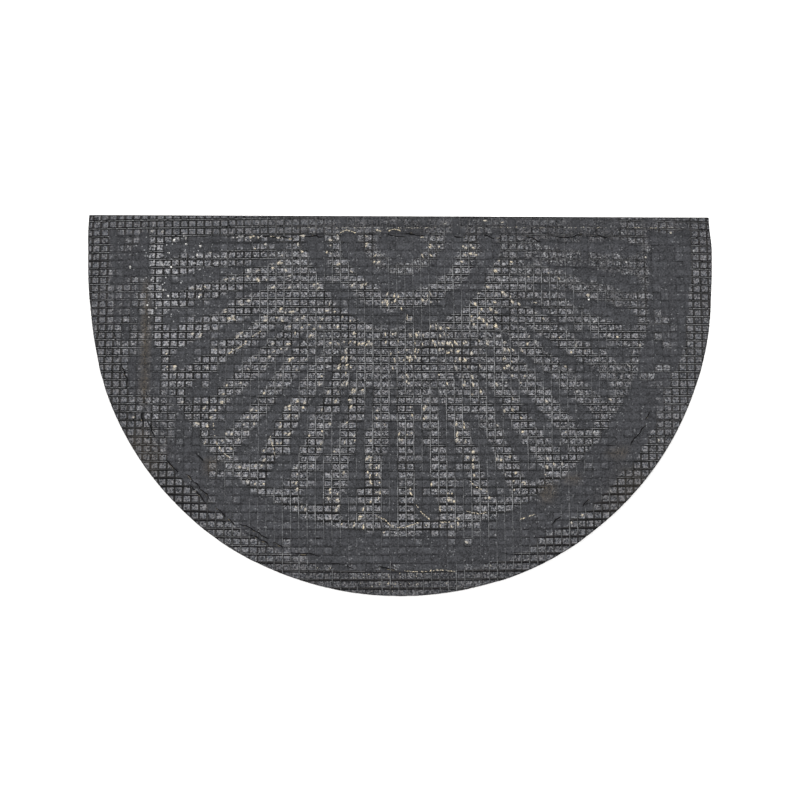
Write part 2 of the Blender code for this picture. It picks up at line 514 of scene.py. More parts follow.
@dataclass(frozen=True)
class Surface:
    """The backing's upper surface: the press mesh's marks, cut off where the rubber sinks."""

    mesh: PressMesh = PressMesh()
    burst: Sunburst = Sunburst()
    wear: Wear = Wear()
    lots: Lots = Lots(seed=5)
    pocket_depth: float = 1.9 * MM
    wall: float = 4.5 * MM
    swell: float = 0.45
    fullest: float = 0.7 * MM
    border_fullest: float = 1.3 * MM
    lot_share: float = 0.45 * MM
    odd_lot: float = 0.6
    odd_share: float = 1.8 * MM
    pad_share: float = 0.65
    rings_reach: float = 0.125
    spill: float = 1.0 * MM
    rounding: float = 0.7 * MM
    clearance: float = 0.25 * MM

    def hollow(self, x: np.ndarray, y: np.ndarray) -> tuple[np.ndarray, np.ndarray]:
        """Gives the surface that the rubber would have without the press mesh.

        Args:
            x: Places along the back edge.
            y: Places across the mat.

        Returns:
            The heights over the pads' tops, and the distances from the nearest pocket.
        """
        edge = self.burst.edge(x, y) - self.spill
        edge = edge + 1.5 * MM * Ripple(seed=11, spacing=0.016).at(x, y)
        edge = edge + 0.8 * MM * Ripple(seed=12, spacing=0.006).at(x, y)
        floor = self.pocket_depth * (1 + 0.3 * Ripple(seed=13, spacing=0.035).at(x, y))
        height = np.where(edge < 0, -floor * ease(-edge / self.wall), edge * self.swell)
        in_border = self.burst.rim.inset(x, y) < self.burst.rim_border
        height = np.minimum(height, np.where(in_border, self.border_fullest, self.fullest))
        broad = 0.4 * MM * Ripple(seed=14, spacing=0.028).at(x, y)
        height += broad + 0.3 * MM * Ripple(seed=19, spacing=0.011).at(x, y)
        return height - patchy(self.wear.sunk, x, y), edge

    def place(self, across: np.ndarray, along: np.ndarray) -> tuple[np.ndarray, np.ndarray]:
        """Turns places in cells into places on the plan, with the mesh's sway.

        Args:
            across: Places in cells from the upright wire at upright_at.
            along: Places in cells from the level wire at level_at.

        Returns:
            The x and y of each place.
        """
        mesh = self.mesh
        x, y = mesh.upright_at + across * mesh.pitch, mesh.level_at + along * mesh.pitch
        aside = mesh.sway * mesh.sway_x.at(x, y) + mesh.pulled(mesh.bends_x, x, y)
        ahead = mesh.sway * mesh.sway_y.at(x, y) + mesh.pulled(mesh.bends_y, x, y)
        return x + aside, y + ahead

    def cells(self, x: np.ndarray, y: np.ndarray) -> tuple[np.ndarray, np.ndarray]:
        """Turns places on the plan into places in cells, by closing in on them.

        Args:
            x: Places along the back edge.
            y: Places across the mat.

        Returns:
            The places in cells, across and along.
        """
        pitch = self.mesh.pitch
        across, along = (x - self.mesh.upright_at) / pitch, (y - self.mesh.level_at) / pitch
        for _ in range(3):
            near_x, near_y = self.place(across, along)
            across, along = across + (x - near_x) / pitch, along + (y - near_y) / pitch
        return across, along

    def relief(self, across: np.ndarray, along: np.ndarray) -> Relief:
        """Works out the surface at places given in cells.

        Args:
            across: Places in cells from the upright wire at upright_at.
            along: Places in cells from the level wire at level_at.

        Returns:
            The surface there.
        """
        mesh = self.mesh
        x, y = self.place(across, along)
        pad_x, pad_y = self.place(mesh.pad_stair(across), mesh.pad_stair(along))
        from_fan = np.hypot(x, HALF_DEPTH - self.burst.back_border - y)
        share = self.pad_share * (0.55 + 0.45 * ease((0.13 - np.abs(x)) / 0.07))
        share *= 1 - 0.75 * ease((self.rings_reach - from_fan) / (8 * MM))
        hollow, edge = self.hollow(x + (pad_x - x) * share, y + (pad_y - y) * share)
        lot = self.lots.at(across, along)
        hollow += self.lot_share * lot
        hollow += self.odd_share * (np.maximum(lot - self.odd_lot, 0) - np.maximum(-lot - self.odd_lot, 0))
        uneven = 1 + 0.25 * Ripple(seed=16, spacing=0.012).at(x, y)
        upright = mesh.mark(across, mesh.upright_depth * uneven, mesh.upright_fin * uneven)
        level = mesh.mark(along, mesh.level_depth * uneven, mesh.level_fin * 2 * mesh.twin(x, along))
        plate = np.minimum(upright, level)
        on_fin = np.abs(across - np.round(across)) * mesh.pitch < mesh.strand / 2
        fin_top = upright - 0.1 * MM
        plate = np.where(on_fin & (mesh.lit(across, y) > 0.4), np.maximum(plate, fin_top), plate)
        plate += 0.15 * MM * lot
        height = np.minimum(plate, hollow)
        imprint = 0.2 * MM * (np.minimum(upright, level) / mesh.level_depth)
        height += np.where(height < plate - 0.05 * MM, imprint, 0.0)
        height -= self.rounding * ease(1 - self.burst.rim.all_round(x, y) / (3 * self.rounding))
        return Relief(x, y, np.minimum(height, 0.0) - self.clearance, -hollow, edge)

    def top(self, x: np.ndarray, y: np.ndarray) -> np.ndarray:
        """Gives the surface's height over the floor at points on the plan."""
        return BACKING_HIGH.z + self.relief(*self.cells(x, y)).height


class Shade:
    """A number that changes over a surface: a node socket with arithmetic."""

    def __init__(self, bench: "Bench", socket: bpy.types.NodeSocket) -> None:
        """Keeps the socket and the bench that adds its nodes."""
        self.bench = bench
        self.socket = socket

    def math(self, operation: str, *others: "Shade | float") -> "Shade":
        """Puts this number through a Math node.

        Args:
            operation: The node's operation.
            others: The node's further inputs.

        Returns:
            The node's result.
        """
        inputs = dict(enumerate((self, *others)))
        return self.bench.number("ShaderNodeMath", {"operation": operation}, inputs)

    def __add__(self, other: "Shade | float") -> "Shade":
        """Adds."""
        return self.math("ADD", other)

    def __radd__(self, other: float) -> "Shade":
        """Adds to a plain number."""
        return self.math("ADD", other)

    def __sub__(self, other: "Shade | float") -> "Shade":
        """Takes away."""
        return self.math("SUBTRACT", other)

    def __rsub__(self, other: float) -> "Shade":
        """Takes this from a plain number."""
        return self.math("MULTIPLY_ADD", -1.0, other)

    def __mul__(self, other: "Shade | float") -> "Shade":
        """Multiplies."""
        return self.math("MULTIPLY", other)

    def __rmul__(self, other: float) -> "Shade":
        """Multiplies a plain number."""
        return self.math("MULTIPLY", other)

    def __neg__(self) -> "Shade":
        """Turns the sign."""
        return self.math("MULTIPLY", -1.0)

    def __abs__(self) -> "Shade":
        """Drops the sign."""
        return self.math("ABSOLUTE")

    def at_most(self, other: "Shade | float") -> "Shade":
        """Gives the lesser of two."""
        return self.math("MINIMUM", other)

    def at_least(self, other: "Shade | float") -> "Shade":
        """Gives the greater of two."""
        return self.math("MAXIMUM", other)

    def rise(self, low: float, high: float) -> "Shade":
        """Goes from 0 to 1 with level ends.

        Args:
            low: Where it is 0, which may be the larger of the two.
            high: Where it is 1.

        Returns:
            The new number.
        """
        settings = {"interpolation_type": "SMOOTHSTEP"}
        ends = {"From Min": min(low, high), "From Max": max(low, high), "Value": self}
        ends |= {"To Min": float(low > high), "To Max": float(low <= high)}
        return self.bench.number("ShaderNodeMapRange", settings, ends)


Colour = tuple[float, float, float]
Place = tuple[float, float, float]


class Tint:
    """A colour that changes over a surface."""

    def __init__(self, bench: "Bench", socket: bpy.types.NodeSocket) -> None:
        """Keeps the socket and the bench that adds its nodes."""
        self.bench = bench
        self.socket = socket

    def mixed(self, other: "Tint | Colour", share: Shade | float) -> "Tint":
        """Blends towards another colour.

        Args:
            other: The other colour.
            share: How much of it, from 0 to 1.

        Returns:
            The blended colour.
        """
        return self.bench.blend(self, other, share)

    def scaled(self, amount: Shade | float) -> "Tint":
        """Makes the colour lighter or darker by a factor."""
        inputs = {0: self, "Scale": amount}
        node = self.bench.node("ShaderNodeVectorMath", {"operation": "SCALE"}, inputs)
        return Tint(self.bench, node.outputs[0])


class Bench:
    """A material's nodes, and the one way in which they are added."""

    def __init__(self, name: str) -> None:
        """Starts a material with its shader's default nodes."""
        self.material = bpy.data.materials.new(name)
        self.material.use_nodes = True
        self.tree = self.material.node_tree
        self.shader = self.tree.nodes["Principled BSDF"]

    def node(self, kind: str, settings: Mapping[str, Any], inputs: Mapping[Any, Any]) -> bpy.types.Node:
        """Adds a node, sets it and feeds it.

        Args:
            kind: The node's type.
            settings: Its settings, by name, which are set before the inputs.
            inputs: Its sockets' values or links, by name or number.

        Returns:
            The node.
        """
        node = self.tree.nodes.new(kind)
        for name, value in settings.items():
            setattr(node, name, value)
        for key, value in inputs.items():
            self.feed(node.inputs[key], value)
        return node

    def feed(self, socket: bpy.types.NodeSocket, value: Any) -> None:
        """Links a shade, tint or socket to a node's socket, or sets a plain value there."""
        if isinstance(value, (Shade, Tint)):
            value = value.socket
        if isinstance(value, bpy.types.NodeSocket):
            self.tree.links.new(value, socket)
        elif socket.type == "RGBA":
            socket.default_value = (*value, 1.0)
        else:
            socket.default_value = value

    def number(self, kind: str, settings: Mapping[str, Any], inputs: Mapping[Any, Any]) -> Shade:
        """Adds a node whose first output is a number."""
        return Shade(self, self.node(kind, settings, inputs).outputs[0])

    def kept(self, name: str) -> Shade:
        """Reads a number kept on the mesh's points."""
        node = self.node("ShaderNodeAttribute", {"attribute_name": name}, {})
        return Shade(self, node.outputs["Fac"])

    def place(self) -> bpy.types.NodeSocket:
        """Gives the place on the object, in metres."""
        return self.node("ShaderNodeTexCoord", {}, {}).outputs["Object"]

    def noise(
        self,
        grain: float,
        detail: float = 2.0,
        shift: Place = (0.0, 0.0, 0.0),
        squeeze: Place = (1.0, 1.0, 1.0),
    ) -> Shade:
        """Adds cloudy noise, around 0.5.

        Args:
            grain: Size of its clouds, in metres.
            detail: How many finer layers it has.
            shift: Where the noise is read from, to tell layers of one grain apart.
            squeeze: How much finer it is along each axis; below 1 draws it out.

        Returns:
            The noise.
        """
        inputs = {0: self.place(), 1: squeeze, 2: shift}
        moved = self.node("ShaderNodeVectorMath", {"operation": "MULTIPLY_ADD"}, inputs)
        inputs = {"Vector": moved.outputs[0], "Scale": 1 / grain, "Detail": detail}
        return self.number("ShaderNodeTexNoise", {}, inputs)

    def crumbs(self, size: float, shift: Place = (0.0, 0.0, 0.0)) -> Shade:
        """Adds crumbs of one size.

        Args:
            size: Their size, in metres.
            shift: Where they are read from, to tell layers of one size apart.

        Returns:
            Each crumb's own number, from 0 to 1.
        """
        moved = self.node("ShaderNodeVectorMath", {"operation": "ADD"}, {0: self.place(), 1: shift})
        cells = self.node("ShaderNodeTexVoronoi", {}, {"Vector": moved.outputs[0], "Scale": 1 / size})
        return self.number("ShaderNodeSeparateColor", {}, {0: cells.outputs["Color"]})

    def colour(self, colour: Colour) -> Tint:
        """Starts from a plain colour."""
        return self.blend(colour, colour, 0.0)

    def blend(self, first: Tint | Colour, second: Tint | Colour, share: Shade | float) -> Tint:
        """Adds a Mix node that goes from the first colour to the second."""
        inputs = {0: share, 6: first, 7: second}
        return Tint(self, self.node("ShaderNodeMix", {"data_type": "RGBA"}, inputs).outputs[2])

    def bump(self, height: Shade, distance: float, below: bpy.types.NodeSocket | None = None) -> Any:
        """Adds a Bump node over the one below it, if there is one.

        Args:
            height: The height, from 0 to 1.
            distance: How far 1 stands out, in metres.
            below: The normal that it starts from.

        Returns:
            The bumped normal.
        """
        inputs: dict[str, Any] = {"Height": height, "Distance": distance}
        if below is not None:
            inputs["Normal"] = below
        return self.node("ShaderNodeBump", {}, inputs).outputs[0]

    def finish(
        self, colour: Tint | Colour, rough: Shade | float, normal: Any = None, shine: float = 0.5
    ) -> bpy.types.Material:
        """Feeds the shader.

        Args:
            colour: Its base colour.
            rough: Its roughness.
            normal: The bumped normal, if there is one.
            shine: How strongly it mirrors, where 0.5 is usual.

        Returns:
            The finished material.
        """
        sockets = {"Base Color": colour, "Roughness": rough, "Specular IOR Level": shine}
        if normal is not None:
            sockets["Normal"] = normal
        for name, value in sockets.items():
            self.feed(self.shader.inputs[name], value)
        return self.material


@dataclass(frozen=True)
class CrumbRubber:
    """Moulded crumb rubber: dusty pads, strand marks darkened with painted shade and lit with painted
    highlights, and smooth speckled pockets.
    """

    pad: Colour = (0.0690, 0.0760, 0.0885)
    warm_pad: Colour = (0.0780, 0.0745, 0.0760)
    pocket: Colour = (0.0282, 0.0289, 0.0318)
    groove: Colour = (0.0310, 0.0300, 0.0300)
    # Near black: the painted shade in the wires' marks and along the rim's edge, also the darkest crumbs.
    strand: Colour = (0.0018, 0.0018, 0.0021)
    # Light grey of the fins: partly their dust, partly a painted highlight where they catch the light.
    fin: Colour = (0.235, 0.238, 0.245)
    loam: Colour = (0.062, 0.050, 0.036)
    chalk: Colour = (0.36, 0.365, 0.37)
    roughness: float = 0.85
    shine: float = 0.15

    def material(self, mesh: PressMesh) -> bpy.types.Material:
        """Makes the rubber's material.

        Args:
            mesh: The press mesh whose marks the surface carries.

        Returns:
            The material.
        """
        bench = Bench("crumb_rubber")
        pitch_mm, edge_mm = mesh.pitch / MM, mesh.pad_edge / MM
        across, along = bench.kept("cells_across"), bench.kept("cells_along")
        aside = (across - across.math("ROUND")) * pitch_mm
        over = (along - along.math("ROUND")) * pitch_mm
        from_upright, from_level = abs(aside), abs(over)
        sunk, twin, lit = bench.kept("sunk_mm"), bench.kept("twin"), bench.kept("lit")
        clogged, smeared, middle = bench.kept("clogged"), bench.kept("smeared"), bench.kept("middle")
        fine = bench.noise(1.6 * MM, 1.0) - 0.5
        blotch = bench.noise(7 * MM, 3.0, (0.3, 0.1, 0.0)) - 0.5
        crumb, grain = bench.crumbs(1.7 * MM), bench.crumbs(1.3 * MM, (0.4, 0.3, 0.0))
        streaks = bench.noise(1.5 * MM, 1.0, (0.2, 0.5, 0.0), (1.0, 0.12, 1.0)) - 0.5
        inner = bench.kept("inset_mm").rise(20.0, 32.0)
        speckle = (crumb - 0.5) * 0.8 + (grain - 0.5) * 1.7 + fine * 1.5 + streaks * 0.9
        speckle = speckle * (0.92 + inner * 0.38) * (1.0 - bench.kept("calm") * 0.4)
        lot, dust, chalk = bench.kept("lot"), bench.kept("dust"), bench.kept("chalk")

        ragged = fine * (clogged * 2.0 + 1.4)
        upright_pad = (from_upright + ragged + middle * 0.4).rise(edge_mm - 0.05, edge_mm + 0.35)
        level_pad = (abs(over + 0.1) + ragged).rise(edge_mm + 0.2, edge_mm + 0.6)
        on_pad = upright_pad.at_least(clogged.at_least(smeared)) * level_pad.at_least(clogged)
        shoulder = from_upright.at_most(from_level - 0.4).rise(edge_mm + 1.3, edge_mm + 0.35)
        low = (sunk + blotch * 1.8).rise(0.2, 1.35)

        # Painted highlight along the pads' edges beside the marks, weaker where the press clogged.
        painted_edge_light = abs(aside + edge_mm + 0.75).rise(0.85, 0.35)
        painted_edge_light = painted_edge_light.at_least(abs(over - edge_mm - 0.75).rise(0.7, 0.3))
        light = 0.84 + lot * 0.13 + dust + chalk * 0.2 + blotch * 0.75 + speckle * 1.05
        light = light + painted_edge_light * (1.0 - clogged) * 0.35
        light = light * (1.0 - clogged * 0.38) * (1.0 - smeared * 0.2)
        pad = bench.colour(self.pad).mixed(self.warm_pad, grain).scaled(light.at_least(0.2))
        frost = bench.noise(16 * MM, 2.0, (0.6, 0.1, 0.0)) - 0.5
        frosted = (crumb - 0.02 + frost * 0.9 + chalk * 0.22).rise(0.90, 1.02)
        pad = pad.mixed(self.chalk, frosted * (0.08 + inner * 0.25))
        glints = bench.crumbs(1.25 * MM, (0.7, 0.2, 0.0))
        pad = pad.mixed(self.chalk, glints.rise(0.925, 0.955) * (0.18 + inner * 0.24) * (1.0 - smeared * 0.5))
        pad = pad.mixed(self.strand, glints.rise(0.085, 0.05) * 0.6)
        tone = 1.0 + speckle * 0.4 + blotch * 0.45 + dust * 0.4 + on_pad * (0.1 + lot * 0.3).at_least(0.0)
        ground = bench.colour(self.pocket).scaled(tone.at_least(0.2))
        ground = ground.mixed(self.chalk, grain.rise(0.975, 0.99) * (0.2 + chalk * 0.8))

        # Painted shade in the wires' marks: one or two lines along each level wire, by twin, and a line along
        # each upright wire where its fin is not lit.
        pressed = (1.1 + blotch * 2.2).at_most(1.0) * (1.0 - clogged)
        sided = bench.kept("sided")
        at_left, at_right = (-sided).at_least(0.0), sided.at_least(0.0)
        lower = (abs(over + twin * 0.15 - at_left * 0.35 + 0.95) + smeared * 0.25).rise(1.15, 0.7)
        lower = lower * (1.0 - at_right * 0.5)
        doubled = (twin * 0.85 + 0.1 + at_left * 0.2).at_least(at_right * 0.85)
        upper = abs(over - 1.05).rise(0.85, 0.45) * doubled
        level_shade = lower.at_least(upper) * pressed
        upright_at = 0.5 - middle * 0.3 + abs(sided) * 0.45 + at_left * 0.3
        upright_shade = abs(aside - upright_at).rise(1.3, 0.5) * (1.0 - lit) * pressed * (1.0 - at_right * 0.3)
        upright_shade = upright_shade * (1.0 - smeared) * bench.kept("inked")
        # Painted shadow beside each lit fin.
        beside = abs(aside - 1.1).rise(0.75, 0.35) * lit * 0.8
        # The lit upright fins get the fins' light grey: partly dust, partly painted highlight.
        upright_fin = (from_upright + ragged * 0.25).rise(0.68, 0.32) * lit

        full = bench.colour(self.groove).mixed(pad, on_pad)
        full = full.mixed(self.strand, level_shade.at_least(upright_shade.at_least(beside)))
        # Between twin lines the level fins get the same light grey: partly dust, partly painted highlight.
        full = full.mixed(self.fin, from_level.rise(0.6, 0.25) * twin * pressed * (0.35 + crumb * 0.6))
        full = full.mixed(self.strand, (grain.rise(0.09, 0.05) * shoulder) * 0.9)
        colour = ground.mixed(full, 1.0 - low)
        # Where the pads sink, the marks keep a fainter painted shade.
        faint = (0.25 + middle * 0.3 + blotch * 2.5).at_least(0.0) * sunk.rise(3.3, 0.8)
        colour = colour.mixed(self.strand, level_shade * faint * low)
        colour = colour.mixed(self.strand, upright_shade.at_least(beside) * faint * low * 0.7)
        shown = (1.0 - low * 0.75) * (1.0 - clogged * 0.5)
        colour = colour.mixed(self.fin, upright_fin * shown * (0.75 + speckle * 0.4))
        colour = colour.mixed(self.loam, bench.kept("loam") * (0.45 + speckle * 0.4))
        # Painted shade along the rim's edge.
        colour = colour.mixed(self.strand, bench.kept("inset_mm").rise(1.5, 0.5) * 0.8)

        normal = bench.bump(blotch, 0.5 * MM, bench.bump(fine, 0.35 * MM))
        return bench.finish(colour, self.roughness + fine * 0.2, normal, self.shine)


@dataclass(frozen=True)
class FoldedRubber:
    """The lips of the folds: dusty on the back, with painted shade underneath and on the flat strip in front.
    """

    back: Colour = (0.036, 0.037, 0.040)
    under: Colour = (0.0015, 0.0015, 0.0018)
    # Near black: the painted shade under the lip and on the strip in front of it.
    fibre: Colour = (0.20, 0.17, 0.12)
    roughness: float = 0.9
    shine: float = 0.15

    def material(self) -> bpy.types.Material:
        """Makes the material of the folds."""
        bench = Bench("folded_rubber")
        grit = bench.noise(2.4 * MM, 2.0)
        back = bench.colour(self.back).scaled((1.0 + (grit - 0.5) * 4.0).at_least(0.3))
        back = back.mixed(self.fibre, bench.noise(5 * MM, 2.0, (0.1, 0.8, 0.0)).rise(0.58, 0.66) * 0.7)
        colour = back.mixed(self.under, bench.kept("under"))
        return bench.finish(colour, self.roughness, bench.bump(grit, 0.4 * MM), self.shine)


@dataclass(frozen=True)
class LooseFibre:
    """Scraps of the face's fibre that stuck to the rubber: cream to light grey, a few white."""

    white: Colour = (0.66, 0.65, 0.62)
    cream: Colour = (0.50, 0.43, 0.31)
    grey: Colour = (0.24, 0.24, 0.245)
    shadow: Colour = (0.085, 0.085, 0.087)
    roughness: float = 0.9

    def material(self) -> bpy.types.Material:
        """Makes the material of the loose fibres."""
        bench = Bench("loose_fibre")
        strands = bench.noise(1.4 * MM, 2.0)
        grey = bench.kept("grey")
        colour = bench.colour(self.cream).mixed(self.grey, grey.at_least(0.0))
        colour = colour.mixed(self.white, (-grey).at_least(0.0))
        colour = colour.mixed(self.shadow, strands.rise(0.54, 0.42) * 0.9)
        return bench.finish(colour, self.roughness, bench.bump(strands, 0.3 * MM))


@dataclass(frozen=True)
class CutRubber:
    """The rubber's cut rim: dark, with torn crumbs."""

    dark: Colour = (0.022, 0.022, 0.024)
    crumb: Colour = (0.075, 0.076, 0.08)
    roughness: float = 0.9

    def material(self) -> bpy.types.Material:
        """Makes the material of the cut rim."""
        bench = Bench("cut_rubber")
        crumbs = bench.noise(1.4 * MM, 3.0)
        colour = bench.colour(self.dark).mixed(self.crumb, crumbs.rise(0.42, 0.66))
        return bench.finish(colour, self.roughness, bench.bump(crumbs, 0.8 * MM))


@dataclass(frozen=True)
class NeedledFibre:
    """The walking face: charcoal and tan fibres, needled flat."""

    dark: Colour = (0.035, 0.031, 0.027)
    tan: Colour = (0.20, 0.155, 0.10)
    roughness: float = 0.95

    def material(self) -> bpy.types.Material:
        """Makes the fibre's material."""
        bench = Bench("needled_fibre")
        fibres = bench.noise(0.9 * MM, 4.0)
        clumps = bench.noise(5 * MM, 3.0, (0.4, 0.2, 0.6))
        colour = bench.colour(self.dark).mixed(self.tan, (fibres * 0.7 + clumps * 0.3).rise(0.40, 0.66))
        return bench.finish(colour, self.roughness, bench.bump(fibres, 0.6 * MM))


class Lattice(NamedTuple):
    """Points in cells across and along, and the faces between them that lie inside the rim."""

    across: np.ndarray
    along: np.ndarray
    faces: list[tuple[int, ...]]


def trimmed(lattice: Lattice, depth: np.ndarray) -> Lattice:
    """Cuts away the part of a lattice that lies outside a line.

    Args:
        lattice: The lattice.
        depth: How far inside the line each of its points lies, below 0 outside.

    Returns:
        What lies inside, with new points where the line crosses it.
    """
    u, v, deep = lattice.across, lattice.along, depth.tolist()
    new_u, new_v, cuts, faces = [], [], {}, []

    def crossing(a: int, b: int) -> int:
        """Finds or makes the point where the line crosses the side from a to b."""
        key = (min(a, b), max(a, b))
        if key not in cuts:
            share = deep[a] / (deep[a] - deep[b])
            new_u.append(u[a] + (u[b] - u[a]) * share)
            new_v.append(v[a] + (v[b] - v[a]) * share)
            cuts[key] = len(u) + len(new_u) - 1
        return cuts[key]

    for whole in lattice.faces:
        face: list[int] = []
        for a, b in zip(whole, whole[1:] + whole[:1]):
            if deep[a] >= 0:
                face.append(a)
            if (deep[a] > 0 > deep[b]) or (deep[b] > 0 > deep[a]):
                face.append(crossing(a, b))
        if len(face) > 2:
            faces.append(tuple(face))
    used = np.unique([number for face in faces for number in face])
    renumbered = np.zeros(len(u) + len(new_u), int)
    renumbered[used] = np.arange(len(used))
    faces = [tuple(renumbered[list(face)].tolist()) for face in faces]
    return Lattice(np.append(u, new_u)[used], np.append(v, new_v)[used], faces)


def cut_lattice(surface: Surface, across: np.ndarray, along: np.ndarray) -> Lattice:
    """Cuts a lattice of rows and columns to the mat's outline, first the curved rim.

    Args:
        surface: The surface whose outline cuts the lattice.
        across: The columns' places, in cells.
        along: The rows' places, in cells.

    Returns:
        The lattice inside the outline.
    """
    u, v = np.meshgrid(across, along, indexing="ij")
    numbers = np.arange(u.size).reshape(u.shape)
    corners = (numbers[:-1, :-1], numbers[1:, :-1], numbers[1:, 1:], numbers[:-1, 1:])
    quads = np.stack([part.ravel() for part in corners], axis=1)
    lattice = Lattice(u.ravel(), v.ravel(), [tuple(quad) for quad in quads.tolist()])
    for line in (surface.burst.rim.inset, surface.burst.rim.below_back):
        depth = line(*surface.place(lattice.across, lattice.along))
        depth[np.abs(depth) < 0.25 * MM] = 0.0
        lattice = trimmed(lattice, depth)
    return lattice


def new_skin(
    name: str, points: list, faces: list, materials: Sequence[bpy.types.Material], kept: Mapping[str, Any]
) -> bpy.types.Mesh:
    """Makes the mesh of a piece.

    Args:
        name: The piece's name.
        points: Its points.
        faces: Its faces.
        materials: The materials of its slots.
        kept: Numbers to keep on its points, by name, for its materials to read.

    Returns:
        The mesh.
    """
    mesh = bpy.data.meshes.new(f"{name}_skin")
    mesh.from_pydata(points, [], faces)
    for kind, values in kept.items():
        mesh.attributes.new(kind, "FLOAT", "POINT").data.foreach_set("value", np.array(values, np.float32))
    for material in materials:
        mesh.materials.append(material)
    return mesh


def new_object(name: str, data: bpy.types.ID) -> bpy.types.Object:
    """Puts a mesh, light or camera into the scene under a name."""
    piece = bpy.data.objects.new(name, data)
    bpy.context.scene.collection.objects.link(piece)
    return piece


def smooth_outward(mesh: bpy.types.Mesh, shape: bmesh.types.BMesh) -> None:
    """Turns a closed shape's faces outward, shades them smooth and puts them into the mesh."""
    bmesh.ops.recalc_face_normals(shape, faces=shape.faces)
    for face in shape.faces:
        face.smooth = True
    shape.to_mesh(mesh)
    shape.free()


def close_below(mesh: bpy.types.Mesh, levels: Sequence[float], rim_slot: int) -> None:
    """Draws an open surface's rim through level rings and closes it with a flat face.

    Args:
        mesh: The open surface.
        levels: The rings' heights, in order from the surface.
        rim_slot: The material slot of what is added.
    """
    shape = bmesh.new()
    shape.from_mesh(mesh)
    loop = [edge for edge in shape.edges if edge.is_boundary]
    for level in levels:
        drawn = bmesh.ops.extrude_edge_only(shape, edges=loop)["geom"]
        for part in drawn:
            if isinstance(part, bmesh.types.BMVert):
                part.co.z = level
            if isinstance(part, bmesh.types.BMFace):
                part.material_index = rim_slot
        loop = [part for part in drawn if isinstance(part, bmesh.types.BMEdge) and part.is_boundary]
    for face in bmesh.ops.contextual_create(shape, geom=loop)["faces"]:
        face.material_index = rim_slot
    bmesh.ops.recalc_face_normals(shape, faces=shape.faces)
    for edge in shape.edges:
        edge.smooth = edge.calc_face_angle(0.0) < SHARP_FROM
    smooth_outward(mesh, shape)


def turn_outward(mesh: bpy.types.Mesh) -> None:
    """Turns a closed mesh's faces outward and shades them smooth."""
    shape = bmesh.new()
    shape.from_mesh(mesh)
    smooth_outward(mesh, shape)


@dataclass
class RubberBacking:
    """The rubber backing, face up: one closed sheet with its pads, marks and sunburst."""

    surface: Surface = Surface()
    jitter: float = 0.22 * MM
    rim_foot: float = 2.8 * MM
    rim_turn: float = 0.4 * MM

    def build(self) -> bpy.types.Object:
        """Builds the backing over its node and dresses it.

        Returns:
            The piece.
        """
        press, wear = self.surface.mesh, self.surface.wear
        across = press.stops(BACKING_LOW.x, BACKING_HIGH.x, press.upright_at)
        along = press.stops(BACKING_LOW.y, BACKING_HIGH.y, press.level_at)
        lattice = cut_lattice(self.surface, across, along)
        across, along = lattice.across, lattice.along
        relief = self.surface.relief(across, along)
        x, y = relief.x, relief.y
        inset = self.surface.burst.rim.all_round(x, y)
        shaken = np.random.default_rng(6).uniform(-self.jitter, self.jitter, (2, len(x)))
        shaken *= inset > press.pitch / 3
        points = np.stack([x + shaken[0], y + shaken[1], BACKING_HIGH.z + relief.height], axis=1)
        kept = {"cells_across": across, "cells_along": along}
        kept |= {"sunk_mm": relief.sunk / MM, "inset_mm": inset / MM}
        kept |= {"lot": self.surface.lots.at(across, along), "sided": press.sided(x)}
        kept |= {"twin": press.twin(x, along), "lit": press.lit(across, y)}
        kept |= {"middle": press.middle(x, y), "inked": press.inked(x, y)}
        border = ease((self.surface.burst.rim_border - inset) / (4 * MM)) * wear.border_dust
        kept |= {"dust": patchy(wear.dust, x, y) + border, "chalk": patchy(wear.chalk, x, y)}
        kept |= {"loam": patchy(wear.loam, x, y), "calm": np.minimum(patchy(wear.calm, x, y), 1.0)}
        for name, spots in (("clogged", wear.clogged), ("smeared", wear.smeared)):
            kept[name] = np.minimum(patchy(spots, x, y), wear.most)
        materials = [CrumbRubber().material(press), CutRubber().material()]
        mesh = new_skin("rubber_backing", points.tolist(), lattice.faces, materials, kept)
        levels = [BACKING_HIGH.z - self.rim_foot, BACKING_LOW.z + self.rim_turn, BACKING_LOW.z]
        close_below(mesh, levels, rim_slot=1)
        piece = new_object("backing", mesh)
        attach(piece, "root")
        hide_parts("rubber_backing")
        return piece


class Fold(NamedTuple):
    """A fold in the rubber, from one end to the other, in the photograph's pixels."""

    start_across: float
    start_down: float
    end_across: float
    end_down: float


def from_photo(across: float, down: float) -> tuple[float, float]:
    """Turns a place in the photograph, in pixels, into x and y on the plan."""
    middle = PICTURE_PIXELS / 2
    return (across - middle) * PHOTO_SCALE, (middle + VIEW_ROWS_ABOVE_MIDDLE - down) * PHOTO_SCALE


